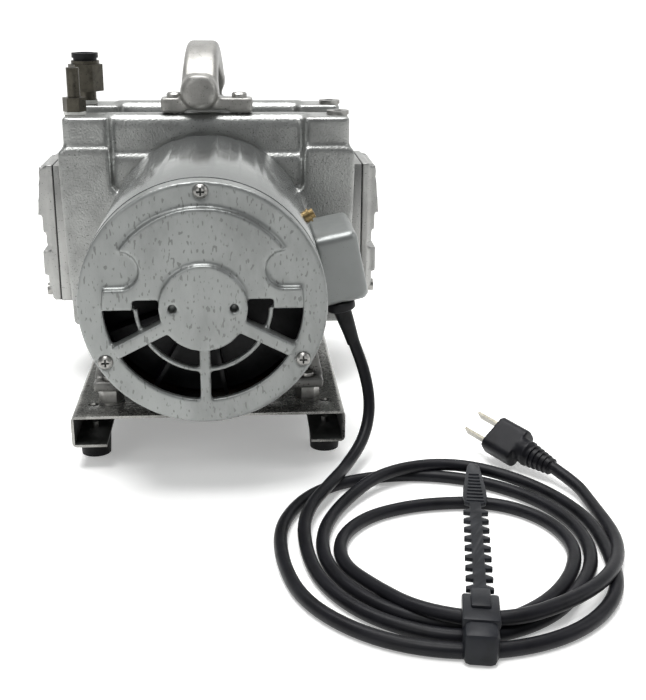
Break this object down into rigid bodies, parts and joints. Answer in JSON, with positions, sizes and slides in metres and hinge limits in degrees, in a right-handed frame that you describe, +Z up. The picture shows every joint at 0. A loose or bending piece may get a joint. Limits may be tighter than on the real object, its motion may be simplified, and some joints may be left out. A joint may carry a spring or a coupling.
{
  "type": "twin-head diaphragm vacuum pump",
  "caption": "Oil-free vacuum pump: induction motor with slotted end cover, cast crankcase with opposed ribbed heads, carrying handle, sheet base on rubber feet, mains cord coiled and tied.",
  "frame": {"origin": "on the floor under the middle of the pump, without its free cord", "axes": "+Y from the motor's end cover towards the crankcase, +X to the right seen from the end cover, +Z up; the motor axis is parallel to Y"},
  "size_m": [0.332, 0.4533, 0.2336],
  "materials": {
    "cast_paint": "hammertone, satin",
    "head_paint": "satin",
    "cover_paint": "satin",
    "shell_paint": "satin",
    "handle_paint": "satin",
    "box_paint": "satin",
    "bracket_iron": "rough",
    "zinc_steel": "dull",
    "screw_steel": "bright",
    "bearing_steel": "ground",
    "shaft_steel": "ground",
    "core_steel": "laminated",
    "rotor_aluminium": "cast",
    "copper": "enamelled",
    "fan_plastic": "matte",
    "rod_aluminium": "cast",
    "valve_aluminium": "machined",
    "reed_steel": "bright",
    "gasket": "matte",
    "diaphragm": "matte",
    "rubber": "matte",
    "fitting_brass": "tarnished",
    "seal_tape": "matte",
    "black_plastic": "matte",
    "capacitor_case": "matte",
    "earth_brass": "satin",
    "cord_rubber": "satin",
    "plug_rubber": "satin",
    "blade_brass": "nickel-bright",
    "tie_nylon": "satin"
  },
  "bodies": {
    "pump": {"crankcase": "cast_paint", "rear_cover": "cast_paint", "rear_cover_screws": "screw_steel", "base_plate": "zinc_steel", "rubber_feet": "rubber", "foot_screws": "screw_steel", "base_bolts": "screw_steel", "spacer_nuts": "screw_steel", "spacer_washers": "screw_steel", "motor_foot_bracket": "bracket_iron", "motor_shell": "shell_paint", "stator_core": "core_steel", "stator_windings": "copper", "end_cover": "cover_paint", "end_cover_screws": "screw_steel", "front_bearing": "bearing_steel", "main_bearing": "bearing_steel", "handle": "handle_paint", "handle_bolts": "screw_steel", "hose_nipple": "fitting_brass", "thread_seal_tape": "seal_tape", "push_fitting_body": "fitting_brass", "port_plugs": "screw_steel", "left_head_cover": "head_paint", "right_head_cover": "head_paint", "left_valve_plate": "valve_aluminium", "right_valve_plate": "valve_aluminium", "valve_reeds": "reed_steel", "head_gaskets": "gasket", "head_screws": "screw_steel", "left_diaphragm": "diaphragm", "right_diaphragm": "diaphragm", "terminal_box": "box_paint", "terminal_box_screws": "screw_steel", "capacitor": "capacitor_case", "cord_gland": "black_plastic", "earth_screw": "earth_brass", "cord_drop": "cord_rubber", "cord_coil": "cord_rubber", "cord_tail": "cord_rubber", "plug_body": "plug_rubber", "plug_blades": "blade_brass", "cable_tie": "tie_nylon"},
    "rotor": {"motor_shaft": "shaft_steel", "rotor_core": "core_steel", "rotor_end_rings": "rotor_aluminium", "cooling_fan": "fan_plastic", "eccentric": "shaft_steel", "eccentric_set_screw": "screw_steel", "counterweights": "core_steel", "bearing_inner_rings": "bearing_steel"},
    "left_rod_body": {"left_rod": "rod_aluminium", "left_rod_bearing": "bearing_steel", "left_clamp_disc": "valve_aluminium", "left_clamp_screw": "screw_steel"},
    "right_rod_body": {"right_rod": "rod_aluminium", "right_rod_bearing": "bearing_steel", "right_clamp_disc": "valve_aluminium", "right_clamp_screw": "screw_steel"},
    "collar": {"release_collar": "black_plastic"}
  },
  "joints": [
    {"name": "shaft_spin", "type": "hinge", "parent": "pump", "child": "rotor", "pos_m": [0, 0, 0.112], "axis": [0, 1, 0], "continuous": true},
    {"name": "left_rod_pin", "type": "hinge", "parent": "rotor", "child": "left_rod_body", "pos_m": [0, 0.087, 0.115], "axis": [0, 1, 0], "continuous": true, "deforming": ["left_diaphragm"]},
    {"name": "right_rod_pin", "type": "hinge", "parent": "rotor", "child": "right_rod_body", "pos_m": [0, 0.087, 0.115], "axis": [0, 1, 0], "continuous": true, "deforming": ["right_diaphragm"]},
    {"name": "collar_slide", "type": "slide", "parent": "pump", "child": "collar", "axis": [0, 0, 1], "range_m": [-0.0015, 0], "stiffness_N_per_m": 500}
  ],
  "couplings": [
    {"joint": "left_rod_pin", "follows": "shaft_spin", "ratio": -1},
    {"joint": "right_rod_pin", "follows": "shaft_spin", "ratio": -1}
  ]
}
